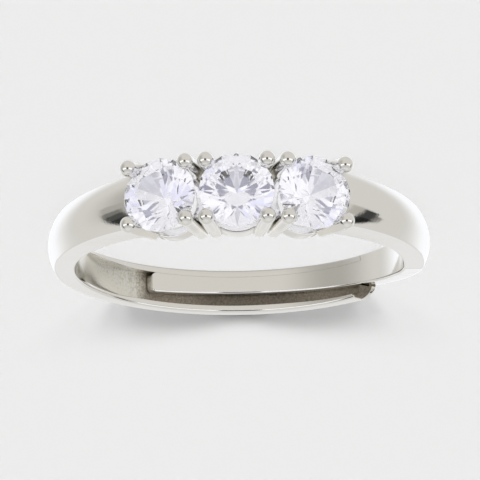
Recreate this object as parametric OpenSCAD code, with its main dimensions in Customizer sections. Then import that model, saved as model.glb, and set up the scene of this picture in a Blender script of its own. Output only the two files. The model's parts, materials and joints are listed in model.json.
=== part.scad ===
// Three stone ring with an adjustable band, lying on its side. Millimetres.
// Along the finger is Z, the stones face -Y, and the band's channel half is at +X.
// The origin is on the finger's axis, halfway across the band.
// Angles round the band are counted from its back at +Y, growing towards -X.

/* [Finger hole] */
// Inner diameter of the band
finger_d = 17.2; // [15.5:0.1:20.5]

/* [Band] */
// Thickness of the band's crown at the back
back_t = 1; // [0.95:0.01:1.3]
// Thickness of the band's crown at the sides
side_t = 1.38; // [1.32:0.01:1.6]
// Radius of the rounded crown, across the band
crown_r = 2.05; // [2:0.05:3.2]
// Width of the band at its waist
waist_w = 2.24; // [2.2:0.02:2.6]
// Distance of the waist behind the finger's axis
waist_back = 3; // [1:0.5:5]
// Width of the band where it meets the head
shoulder_w = 2.7; // [2.5:0.05:3]
// How far the centre of each shoulder's arc lies past the finger's axis
shoulder_rise = 2; // [0.5:0.1:2.6]

/* [Sliding ends] */
// Width of the channel
channel_w = 1.6; // [1.3:0.05:1.7]
// Depth of the channel
channel_depth = 0.62; // [0.45:0.01:0.68]
// Angle of the channel's open end
channel_end = 49; // [30:1:60]
// Angle where the channel has its full depth
channel_full = -40; // [-55:1:-38]
// Angle where the channel's scooped start leaves the finger hole
channel_start = -72; // [-85:1:-66]
// Radius of the outer corner at the channel's open end
channel_corner = 0.65; // [0.2:0.05:0.8]
// Radius of the corner of the rail beside the tongue
rail_corner = 0.15; // [0.05:0.05:0.3]
// Thickness of the rim at the open end of the channel
end_rim = 0.15; // [0.1:0.05:0.35]
// Angle of the tongue's end
tongue_end = -33; // [-36:1:10]
// Width of the tongue at the back of the band
tongue_w = 0.9; // [0.6:0.05:1.1]
// Radius of the corners at the tongue's end
tongue_corner = 0.22; // [0.1:0.02:0.3]
// Clearance round the tongue
slide_gap = 0.05; // [0.03:0.01:0.1]
// Gap between the channel's open end and the step behind the tongue
mouth_gap = 0.1; // [0.1:0.05:1]

/* [Stones] */
// Diameter of each stone
stone_d = 3.8; // [3.4:0.05:4.2]
// Width of the table as a share of the diameter
table_share = 0.56; // [0.5:0.01:0.62]
// Angle of the crown facets
crown_angle = 34; // [30:1:36]
// Angle of the pavilion facets
pavilion_angle = 41; // [39:1:42]
// Thickness of the girdle
girdle_t = 0.1; // [0.06:0.01:0.14]
// Gap between two stones
stone_gap = 0.17; // [0.12:0.01:0.4]
// Height of the stones' points above the finger hole
culet_rise = 0.64; // [0.5:0.02:1]
// Gap between a stone and its seat
seat_gap = 0.04; // [0.02:0.01:0.06]

/* [Settings] */
// Outer diameter of a basket's rail
rail_d = 3.56; // [3.5:0.02:3.9]
// Wall of a basket's rail
rail_wall = 0.5; // [0.4:0.05:0.7]
// Height of the centre basket's rail above the finger hole
rail_h = 0.8; // [0.6:0.05:1]
// How much lower the rails of the side baskets are
rail_drop = 0.1; // [0.05:0.01:0.2]
// Diameter of a prong's ball tip
ball_d = 0.82; // [0.74:0.02:0.9]
// Height of a ball's centre above the girdle
ball_rise = 0.46; // [0.44:0.02:0.6]
// Distance of a prong's axis outside the girdle
prong_out = 0.22; // [0.16:0.02:0.28]
// Angle from the head's length to a ball
prong_turn = 43.5; // [40:0.5:46]
// Diameter of a prong under its ball
prong_top_d = 0.72; // [0.6:0.02:0.78]
// Diameter of a prong at its foot
prong_foot_d = 0.62; // [0.5:0.02:0.7]
// How far the feet of the centre basket lie from its middle, along the head
centre_foot = 1; // [0.9:0.05:1.2]
// How far the inner feet of a side basket lie from its middle
inner_foot = 1.25; // [1:0.05:1.3]
// How far the outer feet of a side basket, soldered to the shoulder, lie from its middle
outer_foot = 1; // [0.9:0.05:1.2]
// Height of the outer feet above the finger hole
outer_foot_rise = 0.75; // [0.5:0.05:0.9]

/* [Hidden] */
$fn = 96;
// Room that a cutter has past the metal
past = 2;

// Band, worked out from the sizes above
hole_r = finger_d / 2;
crown_side_r = hole_r + side_t;
band_shift = side_t - back_t;
blank_w = shoulder_w + 0.4;
flare_steps = 28;

// Sliding ends, worked out from the sizes above
floor_r = hole_r + channel_depth;
scoop_step = 0.03;
scoop_floor_r = floor_r - scoop_step;
scoop_turn = channel_full - channel_start;
scoop_shift = (scoop_floor_r * scoop_floor_r - hole_r * hole_r)
    / (2 * (scoop_floor_r - hole_r * cos(scoop_turn)));
scoop_r = scoop_floor_r - scoop_shift;
tongue_low = slide_gap - channel_w / 2;
tongue_high = tongue_low + tongue_w;
tongue_r = floor_r - slide_gap;
taper_start = 0.5;
taper_angle = atan((waist_w / 2 - tongue_high) / (hole_r - taper_start));
step_angle = channel_end + mouth_gap / hole_r * 180 / PI;
mouth_half_w = half_width(hole_r * cos(channel_end));
rim_w = mouth_half_w - channel_w / 2;
wall_angle = channel_end - end_rim / hole_r * 180 / PI;
passage_top = min(taper_top(hole_r * cos(channel_end)) + slide_gap, channel_w / 2);
rim_corner = max(min(channel_corner - rim_w, channel_w / 2 - passage_top), 0.05);

// Stones, worked out from the sizes above
stone_r = stone_d / 2;
table_r = stone_r * table_share;
crown_h = (stone_r - table_r) * tan(crown_angle);
pavilion_h = stone_r * tan(pavilion_angle);
girdle_r = hole_r + culet_rise + pavilion_h + girdle_t / 2;
side_angle = 2 * atan((stone_r + stone_gap / 2) / girdle_r);
main_facets = 8;
half_facet = 180 / main_facets;
star_r = (table_r * cos(half_facet) + stone_r) / 2;
star_z = girdle_t / 2 + (stone_r - star_r * cos(half_facet)) * tan(crown_angle);
lower_r = 0.23 * stone_r;
lower_z = -girdle_t / 2 - (stone_r - lower_r * cos(half_facet)) * tan(pavilion_angle);

// Settings, worked out from the sizes above
rail_r = rail_d / 2;
rail_top = hole_r + rail_h;
side_rail_top = rail_top - rail_drop;
rail_low = hole_r * cos(asin(rail_r / hole_r)) - 0.3;
basket_room_r = stone_r - 0.15;
ball_at = [(stone_r + prong_out) * cos(prong_turn), (stone_r + prong_out) * sin(prong_turn),
    girdle_r + ball_rise];
foot_y = rail_r - prong_foot_d / 2;
shoulder_end = atan((girdle_r * cos(side_angle) - band_shift)
    / (girdle_r * sin(side_angle) + shoulder_rise));
outer_foot_z = hole_r + outer_foot_rise;
// One row for each basket: its angle round the finger, the top of its rail, then the place
// along the head and the height of its feet on either side
ANGLE = 0;
TOP = 1;
FEET = 2;
BASKETS = [
    [side_angle, side_rail_top, [[-inner_foot, rail_low], [outer_foot, outer_foot_z]]],
    [0, rail_top, [[-centre_foot, rail_low], [centre_foot, rail_low]]],
    [-side_angle, side_rail_top, [[-outer_foot, outer_foot_z], [inner_foot, rail_low]]]
];

// The ring lies on the back of its band and, on its side baskets, on the outer balls or on
// the rails, whichever lift the head more
function sag(r, half) = r - sqrt(r * r - half * half);
back_edge_r = hole_r + back_t - sag(crown_r, half_width(hole_r + back_t / 2));
back_half_w = half_width(back_edge_r);
rail_reach = back_edge_r + hole_r * cos(side_angle);
ball_reach = back_edge_r + ball_at[2] * cos(side_angle) - ball_at[0] * sin(side_angle);
ball_drop = ball_at[1] - back_half_w;
rest_tilt = max(atan((rail_r - back_half_w) / rail_reach),
    asin(ball_d / 2 / norm([ball_reach, ball_drop])) + atan(ball_drop / ball_reach));

// Turns what is built with the finger's axis upright to how the ring lies
module lying() {
    rotate([-rest_tilt, 0, 0]) children();
}

// Places what is built on +Z at one basket's angle round the finger
module at_basket(angle) {
    rotate([90, 0, angle]) children();
}

// A sector of a flat ring round the finger
module sector(from, to, inner, outer, low, high) {
    rotate([0, 0, 90 + from])
        rotate_extrude(angle = to - from)
            translate([inner, low]) square([outer - inner, high - low]);
}

// The band's cross-section, from inside the finger hole out to its crown
module crown_section(inner, apex) {
    translate([inner, -blank_w / 2]) square([apex - crown_r - inner, blank_w]);
    intersection() {
        translate([apex - crown_r, 0]) circle(crown_r);
        translate([apex - crown_r - 0.5, -blank_w / 2]) square([crown_r + 1, blank_w]);
    }
}

// The back half of the band, thinnest at the back
module back_arc() {
    translate([0, -band_shift, 0])
        rotate_extrude(angle = 180) crown_section(hole_r - past, crown_side_r);
}

// One shoulder, on a wider arc that rises to the head
module shoulder_arc() {
    translate([-shoulder_rise, -band_shift, 0])
        mirror([0, 1, 0])
            rotate_extrude(angle = shoulder_end)
                crown_section(hole_r - past, crown_side_r + shoulder_rise);
}

// Half the band's width, which grows with the square of the distance from the waist
function half_width(y) =
    waist_w / 2 + (shoulder_w - waist_w) / 2 * pow((waist_back - y) / (waist_back + hole_r), 2);

// The band seen from its side, flaring from the waist to the head
module flare_profile() {
    reach = hole_r + side_t + shoulder_rise;
    steps = [for (k = [0 : flare_steps]) reach * (2 * k / flare_steps - 1)];
    polygon(concat(
        [for (y = steps) [y, -half_width(y)]],
        [for (k = [flare_steps : -1 : 0]) [steps[k], half_width(steps[k])]]
    ));
}

// The whole band before its ends are cut
module band_blank() {
    intersection() {
        union() {
            back_arc();
            shoulder_arc();
            mirror([1, 0, 0]) shoulder_arc();
        }
        rotate([90, 0, 90])
            linear_extrude(height = 2 * (hole_r + 3 * past), center = true) flare_profile();
    }
}

// What rounds a corner of an end face that lies at an angle round the band. The inside of the
// corner is towards +Z from its edge where side is 1, and towards -Z where it is -1. It is
// on the side of smaller angles, or of larger ones where flip is -1.
module end_corner(angle, edge, side, radius, flip) {
    rotate([0, 0, angle])
        translate([0, hole_r - past / 2, edge])
            difference() {
                translate([-radius, 0, -radius]) cube([2 * radius, 2 * past, 2 * radius]);
                translate([flip * radius, 0, side * radius]) rotate([-90, 0, 0])
                    cylinder(r = radius, h = 2 * past);
            }
}

// The channel, with its scooped start. At its open end a rim turns in from the side that the
// tongue leaves free.
module channel() {
    difference() {
        sector(channel_full, channel_end + 30, hole_r - past, floor_r,
            -channel_w / 2, channel_w / 2);
        sector(wall_angle, channel_end + 40, hole_r - 2 * past, floor_r + past,
            passage_top, channel_w);
        end_corner(wall_angle, channel_w / 2, -1, rim_corner, 1);
    }
    rotate([0, 0, channel_full])
        translate([0, scoop_shift, 0])
            cylinder(r = scoop_r, h = channel_w, center = true);
}

// The half of the band at +X, with the channel in its inner face
module channel_half() {
    difference() {
        intersection() {
            band_blank();
            sector(-178, channel_end, hole_r - past, hole_r + 3 * past, -past, past);
        }
        channel();
        end_corner(channel_end, -mouth_half_w, 1, rail_corner, 1);
        end_corner(channel_end, mouth_half_w, -1, channel_corner, 1);
    }
}

// Height of the slanting side that tapers the half at -X
function taper_top(y) = waist_w / 2 - (y - taper_start) * tan(taper_angle);

// What tapers the half at -X from its full width to the tongue
module taper() {
    translate([0, taper_start, waist_w / 2])
        rotate([-taper_angle, 0, 0])
            translate([-hole_r - 2 * past, -2 * past, 0])
                cube([2 * hole_r + 4 * past, hole_r + 6 * past, 2 * past]);
}

// The half of the band at -X, whose thin tongue lies in the channel
module tongue_half() {
    difference() {
        union() {
            intersection() {
                band_blank();
                sector(step_angle, 178, hole_r - past, hole_r + 3 * past, -past, past);
            }
            sector(tongue_end, step_angle + 3, hole_r - past, tongue_r, tongue_low, past);
        }
        taper();
        end_corner(tongue_end, tongue_low, 1, tongue_corner, -1);
        end_corner(tongue_end, taper_top(hole_r * cos(tongue_end)), -1, tongue_corner, -1);
    }
}

// Both halves of the band, hollowed out under the side stones
module band() {
    difference() {
        union() {
            channel_half();
            tongue_half();
        }
        for (side = [-1, 1])
            at_basket(side * side_angle)
                translate([0, 0, hole_r - past]) cylinder(r = basket_room_r, h = 3 * past);
    }
}

// A prong that runs from its rounded foot to its ball tip
module prong(foot, tip) {
    run = tip - foot;
    length = norm(run);
    translate(foot)
        rotate([0, acos(run[2] / length), atan2(run[1], run[0])])
            rotate_extrude()
                intersection() {
                    union() {
                        circle(d = prong_foot_d);
                        polygon([[0, 0], [prong_foot_d / 2, 0], [prong_top_d / 2, length], [0, length]]);
                        translate([0, length]) circle(d = ball_d);
                    }
                    translate([0, -prong_foot_d]) square([ball_d, length + prong_foot_d + ball_d]);
                }
}

// One basket: a rail and four prongs
module basket(top, feet) {
    difference() {
        translate([0, 0, rail_low]) cylinder(r = rail_r, h = top - rail_low);
        translate([0, 0, rail_low - past]) cylinder(r = rail_r - rail_wall, h = 3 * past);
    }
    for (foot = feet, y = [-1, 1])
        prong([foot[0], y * foot_y, foot[1]],
            [sign(foot[0]) * ball_at[0], y * ball_at[1], ball_at[2]]);
}

// The space that a stone needs, with the gap round it
module stone_seat() {
    low = seat_gap / cos(pavilion_angle);
    high = seat_gap / cos(crown_angle);
    translate([0, 0, girdle_r])
        rotate_extrude()
            polygon([
                [0, -girdle_t / 2 - pavilion_h - low],
                [stone_r + seat_gap, -girdle_t / 2 - low + seat_gap * tan(pavilion_angle)],
                [stone_r + seat_gap, girdle_t / 2 + high - seat_gap * tan(crown_angle)],
                [table_r, girdle_t / 2 + crown_h + high],
                [0, girdle_t / 2 + crown_h + high]
            ]);
}

// The soldered metal: both halves of the band and the three baskets
module ring_body() {
    color([0.86, 0.86, 0.87])
        lying()
            difference() {
                union() {
                    band();
                    for (row = BASKETS) at_basket(row[ANGLE]) basket(row[TOP], row[FEET]);
                }
                cylinder(r = hole_r, h = 6 * past, center = true);
                for (row = BASKETS) at_basket(row[ANGLE]) stone_seat();
            }
}

// Points on a level circle
function level(count, r, z, turn) =
    [for (k = [0 : count - 1]) [r * cos(turn + k * 360 / count), r * sin(turn + k * 360 / count), z]];

// A round brilliant cut, with its girdle's middle at the origin and its table towards +Z
module brilliant() {
    n = main_facets;
    star = n;
    upper = 2 * n;
    under = 4 * n;
    low = 6 * n;
    culet = 7 * n;
    points = concat(
        level(n, table_r, girdle_t / 2 + crown_h, 0),
        level(n, star_r, star_z, half_facet),
        level(2 * n, stone_r, girdle_t / 2, 0),
        level(2 * n, stone_r, -girdle_t / 2, 0),
        level(n, lower_r, lower_z, half_facet),
        [[0, 0, -girdle_t / 2 - pavilion_h]]
    );
    faces = concat(
        [[for (k = [n - 1 : -1 : 0]) k]],
        [for (k = [0 : n - 1]) [k, (k + 1) % n, star + k]],
        [for (k = [0 : n - 1]) [k, star + k, upper + 2 * k, star + (k + n - 1) % n]],
        [for (k = [0 : n - 1]) [star + k, upper + 2 * k + 1, upper + 2 * k]],
        [for (k = [0 : n - 1]) [star + k, upper + (2 * k + 2) % (2 * n), upper + 2 * k + 1]],
        [for (k = [0 : 2 * n - 1])
            [upper + k, upper + (k + 1) % (2 * n), under + (k + 1) % (2 * n), under + k]],
        [for (k = [0 : n - 1]) [low + k, under + 2 * k, under + 2 * k + 1]],
        [for (k = [0 : n - 1]) [low + k, under + 2 * k + 1, under + (2 * k + 2) % (2 * n)]],
        [for (k = [0 : n - 1]) [culet, low + (k + n - 1) % n, under + 2 * k, low + k]]
    );
    polyhedron(points = points, faces = faces, convexity = 2);
}

// One stone in its basket
module stone(basket) {
    color([0.9, 0.9, 0.98, 0.7])
        lying() at_basket(BASKETS[basket][ANGLE]) translate([0, 0, girdle_r]) brilliant();
}

module stone_left() {
    stone(0);
}

module stone_centre() {
    stone(1);
}

module stone_right() {
    stone(2);
}

ring_body();
stone_left();
stone_centre();
stone_right();
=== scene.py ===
import json
import math
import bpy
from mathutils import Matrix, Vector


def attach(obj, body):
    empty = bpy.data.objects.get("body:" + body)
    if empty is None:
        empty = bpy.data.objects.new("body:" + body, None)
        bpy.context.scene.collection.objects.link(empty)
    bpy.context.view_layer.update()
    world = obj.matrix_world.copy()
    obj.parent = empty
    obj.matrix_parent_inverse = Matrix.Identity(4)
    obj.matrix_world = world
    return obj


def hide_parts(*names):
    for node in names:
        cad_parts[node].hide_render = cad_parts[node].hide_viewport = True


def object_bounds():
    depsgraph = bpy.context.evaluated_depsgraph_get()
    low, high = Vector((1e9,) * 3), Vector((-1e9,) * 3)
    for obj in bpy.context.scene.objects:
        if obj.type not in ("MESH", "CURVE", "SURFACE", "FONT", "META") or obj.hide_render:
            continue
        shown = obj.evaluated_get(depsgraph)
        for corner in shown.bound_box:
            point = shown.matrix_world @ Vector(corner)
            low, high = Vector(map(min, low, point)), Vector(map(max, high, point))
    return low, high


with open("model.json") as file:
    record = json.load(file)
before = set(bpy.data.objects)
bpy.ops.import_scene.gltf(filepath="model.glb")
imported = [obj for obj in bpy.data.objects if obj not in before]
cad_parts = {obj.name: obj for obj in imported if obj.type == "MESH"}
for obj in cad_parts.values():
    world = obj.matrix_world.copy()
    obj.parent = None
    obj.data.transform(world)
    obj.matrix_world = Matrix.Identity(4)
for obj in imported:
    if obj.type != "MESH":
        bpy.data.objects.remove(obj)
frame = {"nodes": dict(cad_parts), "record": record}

from types import SimpleNamespace

import bpy
import numpy as np
from bpy.props import FloatProperty, FloatVectorProperty, PointerProperty
from mathutils import Matrix, Vector

bl_info = {
    "name": "Three stone ring",
    "version": (1, 0, 0),
    "blender": (4, 5, 0),
    "location": "3D View > Sidebar > Ring",
    "description": "Dresses the frame of a three stone ring with polished metal and cut stones",
    "category": "Object",
}

MM = 0.001
# The photograph's side in pixels, the pixel that shows the finger's axis, and the pixels to a
# millimetre.
PHOTO_SIDE = 480
PHOTO_CENTRE = (239.033, 248.912)
PHOTO_SCALE = 19.066
FINGER = frame["record"]["mounts"][0]
AXIS = FINGER["axis"]
LEAN = math.atan2(AXIS[1], AXIS[2])
CAD_BOX = [list(corner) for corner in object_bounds()]
BASKETS = ("left", "centre", "right")

# Fixed sizes of the solids, in millimetres: the step at the end of the scoop's floor, the place
# behind the finger's axis where the tongue's taper starts, how far the rails reach below where
# the finger hole meets them, how much less than a stone's radius the room for a basket has, and
# the radius of a prong's foot.
SCOOP_STEP = 0.03
TAPER_START = 0.5
RAIL_REACH = 0.3
ROOM_STEP = 0.15
FOOT_R = 0.31

# States of the silver, kept as an attribute of its points; 0 is polished.
# Below 0 the silver takes less of the crevice darkening, which is partly oxide and partly painted
# shade.
CLEAN_AND_UNSHADED = -0.9
PRONG_SATIN = 0.12
SATIN = 0.3
GRAINY = 0.5
RAW = 1.0
# Past raw: darker raw silver that is partly painted shade, in the channel's middle and at its open
# end.
RAW_SHADED = 1.5


# Settings

def length(name, text, value):
    """A length that is given here in millimetres and kept in metres."""
    return FloatProperty(name=name, description=text, default=value * MM, min=0.0,
                         unit="LENGTH", subtype="DISTANCE", precision=6)


def angle(name, text, value):
    """An angle that is given here in degrees and kept in radians."""
    return FloatProperty(name=name, description=text, default=math.radians(value),
                         unit="ROTATION", subtype="ANGLE")


def number(name, text, value, low=0.0, high=10.0):
    return FloatProperty(name=name, description=text, default=value, min=low, max=high)


def colour(name, text, value):
    return FloatVectorProperty(name=name, description=text, default=value, size=3,
                               min=0.0, max=1.0, subtype="COLOR")


class BandSizes(bpy.types.PropertyGroup):
    finger_d: length("Finger hole", "Inner diameter of the band", 2 * FINGER["dims"]["r_mm"])
    back_t: length("Back thickness", "Thickness of the crown at the back", 1.0)
    side_t: length("Side thickness", "Thickness of the crown at the sides", 1.38)
    crown_r: length("Crown radius", "Radius of the rounded crown across the band", 2.05)
    waist_w: length("Waist width", "Width of the band at its waist", 2.24)
    waist_back: length("Waist place", "Distance of the waist behind the finger's axis", 3.0)
    shoulder_w: length("Shoulder width", "Width of the band at the head", 2.7)
    shoulder_rise: length("Shoulder rise", "How far the shoulders' arcs are moved sideways", 2.0)
    inner_edge: length("Inner edge", "Rounding of the edges round the finger hole", 0.12)
    crown_edge: length("Crown edge", "Rounding between the crown and the side faces", 0.12)


class EndSizes(bpy.types.PropertyGroup):
    channel_w: length("Channel width", "Width of the channel", 1.6)
    channel_depth: length("Channel depth", "Depth of the channel", 0.62)
    channel_end: angle("Channel end", "Angle of the channel's open end", 49)
    channel_full: angle("Channel full", "Angle where the channel has its full depth", -40)
    channel_start: angle("Channel start", "Angle where the scoop leaves the finger hole", -72)
    channel_corner: length("Channel corner", "Radius of the outer corner at the open end", 0.65)
    rail_corner: length("Rail corner", "Radius of the corner of the rail beside the tongue", 0.15)
    end_rim: length("End rim", "Thickness of the rim at the open end", 0.15)
    rim_wear: length("Rim wear", "How much thinner the rail is towards the open end", 0.1)
    tongue_end: angle("Tongue end", "Angle of the tongue's end", -33.6)
    tongue_w: length("Tongue width", "Width of the tongue at the back", 0.9)
    tongue_corner: length("Tongue corner", "Radius of the corners at the tongue's end", 0.26)
    slide_gap: length("Slide gap", "Clearance round the tongue", 0.05)
    mouth_gap: length("Mouth gap", "Gap between the open end and the step", 0.02)
    lip: length("Lip", "Rounding of the channel's lip beside the strip", 0.05)
    side_lip: length("Side lip", "Rounding of the channel's lip beside the tongue", 0.004)
    scoop_lip: length("Scoop lip", "How much rounder the lip is at the scooped start", 0.3)
    scoop_soft: length("Scoop blend", "How softly the scoop leaves the finger hole", 0.12)
    side_gap: length("Side gap", "Clearance seen beside the tongue", 0.005)
    tongue_edge: length("Tongue edge", "Rounding of the tongue's edge beside the strip", 0.14)
    tongue_nose: length("Tongue nose", "Rounding of the tongue's end towards the finger", 0.2)


class HeadSizes(bpy.types.PropertyGroup):
    stone_d: length("Stone", "Diameter of each stone", 3.8)
    pavilion_angle: angle("Pavilion", "Angle of the pavilion facets", 41)
    girdle_t: length("Girdle", "Thickness of the girdle", 0.1)
    stone_gap: length("Stone gap", "Gap between two stones", 0.17)
    culet_rise: length("Culet rise", "Height of the stones' points above the finger hole", 0.64)
    seat_gap: length("Seat gap", "Gap between a stone and its seat", 0.04)
    rail_d: length("Rail", "Outer diameter of a basket's rail", 3.56)
    rail_wall: length("Rail wall", "Wall of a basket's rail", 0.5)
    rail_h: length("Rail height", "Height of the centre rail above the finger hole", 0.8)
    rail_drop: length("Rail drop", "How much lower the side rails are", 0.1)
    rail_edge: length("Rail edge", "Rounding of the rails' edges", 0.1)
    ball_d: length("Ball", "Diameter of a prong's ball tip", 0.82)
    ball_rise: length("Ball rise", "Height of a ball's centre above the girdle", 0.46)
    prong_out: length("Prong out", "Distance of a prong's axis outside the girdle", 0.22)
    prong_turn: angle("Prong turn", "Angle from the head's length to a ball", 43.5)
    prong_top_d: length("Prong top", "Diameter of a prong under its ball", 0.81)
    prong_foot_d: length("Prong foot", "Diameter of a prong at its foot", 0.6)
    centre_foot: length("Centre feet", "Feet of the centre basket from its middle", 1.0)
    inner_foot: length("Inner feet", "Inner feet of a side basket from its middle", 1.25)
    outer_foot: length("Outer feet", "Outer feet of a side basket from its middle", 1.0)
    outer_foot_rise: length("Outer rise", "Height of the outer feet above the hole", 0.75)


class Finish(bpy.types.PropertyGroup):
    polished: colour("Polished", "Colour of the polished silver", (0.93, 0.925, 0.91))
    satin: colour("Satin", "Colour of the satin silver in the scoop", (1.0, 0.98, 0.91))
    raw: colour("Raw", "Colour of the raw silver in the channel", (0.39, 0.34, 0.28))
    # Olive colour of crevices, laid on by ambient occlusion: partly oxide, partly painted shade.
    tarnish_and_shade: colour("Tarnish_and_shade", "Colour of the silver in deep crevices", (0.3, 0.28, 0.22))
    stone: colour("Stone", "Tint of the stones", (0.96, 0.955, 1.0))
    stone_ior: number("Stone IOR", "Refraction of the stones", 1.8, 1.0, 3.0)
    # Painted glow: an emission in the stones' tint that stands in for light scattered inside them.
    stone_glow: number("Stone glow", "Light scattered inside the stones", 0.015)


class StageSettings(bpy.types.PropertyGroup):
    floor: colour("Floor", "Colour of the floor", (0.36, 0.36, 0.36))
    tent: number("Tent light", "Brightness of the soft light all round", 1.0)
    low_light: number("Low lights", "Brightness that the low lights give the floor", 0.82)
    camera_up: angle("Camera angle", "Angle from the stones' face towards the finger's axis", 15.713)
    camera_turn: angle("Camera turn", "Turn round the finger's axis", 0.322)
    camera_roll: angle("Camera roll", "Turn of the picture in its own plane", 0.958)
    camera_far: length("Camera distance", "Distance from the finger's axis", 200.0)


SIZES = (BandSizes, EndSizes, HeadSizes)
SETTINGS = (*SIZES, Finish, StageSettings)


def sizes():
    """All sizes of the settings, in millimetres and radians, and those worked out from them."""
    s = SimpleNamespace()
    for group in SIZES:
        values = getattr(bpy.context.scene, group.__name__.lower())
        for name in group.__annotations__:
            scale = MM if group.bl_rna.properties[name].unit == "LENGTH" else 1
            setattr(s, name, getattr(values, name) / scale)
    s.hole_r = s.finger_d / 2
    s.crown_side_r = s.hole_r + s.side_t
    s.band_shift = s.side_t - s.back_t
    s.floor_r = s.hole_r + s.channel_depth
    scoop_floor = s.floor_r - SCOOP_STEP
    s.scoop_shift = ((scoop_floor**2 - s.hole_r**2)
                     / (2 * (scoop_floor - s.hole_r * math.cos(s.channel_full - s.channel_start))))
    s.scoop_r = scoop_floor - s.scoop_shift
    s.tongue_low = s.slide_gap - s.channel_w / 2
    s.tongue_high = s.tongue_low + s.tongue_w
    s.tongue_r = s.floor_r - s.slide_gap
    s.taper_slope = (s.waist_w / 2 - s.tongue_high) / (s.hole_r - TAPER_START)
    s.step_angle = s.channel_end + s.mouth_gap / s.hole_r
    s.stone_r = s.stone_d / 2
    s.pavilion_h = s.stone_r * math.tan(s.pavilion_angle)
    s.girdle_r = s.hole_r + s.culet_rise + s.pavilion_h + s.girdle_t / 2
    s.side_angle = 2 * math.atan((s.stone_r + s.stone_gap / 2) / s.girdle_r)
    s.rail_r = s.rail_d / 2
    s.rail_top = s.hole_r + s.rail_h
    s.rail_low = math.sqrt(s.hole_r**2 - s.rail_r**2) - RAIL_REACH
    s.basket_room_r = s.stone_r - ROOM_STEP
    reach = s.stone_r + s.prong_out
    s.ball_at = (reach * math.cos(s.prong_turn), reach * math.sin(s.prong_turn),
                 s.girdle_r + s.ball_rise)
    s.foot_y = s.rail_r - FOOT_R
    s.outer_foot_z = s.hole_r + s.outer_foot_rise
    return s


# Meshes

def lie(points):
    """Points of the upright ring in millimetres, leant as it lies and in metres: a turn about X."""
    x, y, z = np.moveaxis(np.asarray(points, float), -1, 0)
    c, s = math.cos(LEAN), math.sin(LEAN)
    return np.stack([x, c * y + s * z, c * z - s * y], -1) * MM


def at_basket(points, turn):
    """Points of a basket's own frame, z outwards, x along the head and y along the finger,
    turned to the basket's angle round the finger."""
    x, y, z = np.moveaxis(np.asarray(points, float), -1, 0)
    c, s = math.cos(turn), math.sin(turn)
    return np.stack([c * x + s * z, s * x - c * z, y], -1)


def rounded(corners, radii, steps=5):
    """Closed outlines (stations, corners, 3) whose corners are replaced by short curves.
    Each is the parabola (1-t)^2 A + 2t(1-t) C + t^2 B between two points A and B on the
    sides that meet in the corner C. A corner with no radius stays one point."""
    before = np.roll(corners, 1, 1) - corners
    after = np.roll(corners, -1, 1) - corners
    parts = []
    t = np.linspace(0, 1, steps)[None, :, None]
    for k, radius in enumerate(radii):
        c = corners[:, k]
        if np.ndim(radius) == 0 and not radius:
            parts.append(c[:, None])
            continue
        ends = []
        for side in (before[:, k], after[:, k]):
            run = np.linalg.norm(side, axis=-1, keepdims=True)
            reach = np.minimum(np.reshape(radius, (-1, 1)), 0.48 * run)
            ends.append(c + side / np.maximum(run, 1e-9) * reach)
        a, b = ends
        parts.append((1 - t)**2 * a[:, None] + 2 * t * (1 - t) * c[:, None] + t**2 * b[:, None])
    return np.concatenate(parts, 1)


def tube_faces(stations, around, loop=False):
    """Quads of a grid of closed outlines, in the grid's order."""
    k = np.arange(stations if loop else stations - 1)[:, None]
    j = np.arange(around)[None, :]
    nk, nj = (k + 1) % stations, (j + 1) % around
    return np.stack(np.broadcast_arrays(k * around + j, k * around + nj,
                                        nk * around + nj, nk * around + j), -1).reshape(-1, 4)


# The cosine of the turn between two faces, about 40 degrees, past which their edge stays sharp.
SHARP_FROM = 0.77


def corner_normals(faces, loop):
    """Normals at the four corners of each face of a grid: the sum of the normals of the faces
    round the corner, by area, leaving out those that turn too far from this one. Flat faces stay
    flat up to their rounded edges, and steps stay sharp."""
    unit = faces / np.maximum(np.linalg.norm(faces, axis=-1, keepdims=True), 1e-20)
    result = []
    for row, column in ((-1, -1), (-1, 1), (1, 1), (1, -1)):
        total = faces.copy()
        for shift in ((row, 0), (0, column), (row, column)):
            back = (-shift[0], -shift[1])
            keep = (unit * np.roll(unit, back, (0, 1))).sum(-1, keepdims=True) > SHARP_FROM
            if shift[0] and not loop:
                keep[0 if row < 0 else -1] = False
            total += np.roll(faces, back, (0, 1)) * keep
        result.append(total / np.maximum(np.linalg.norm(total, axis=-1, keepdims=True), 1e-20))
    return np.stack(result, 2)


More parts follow.
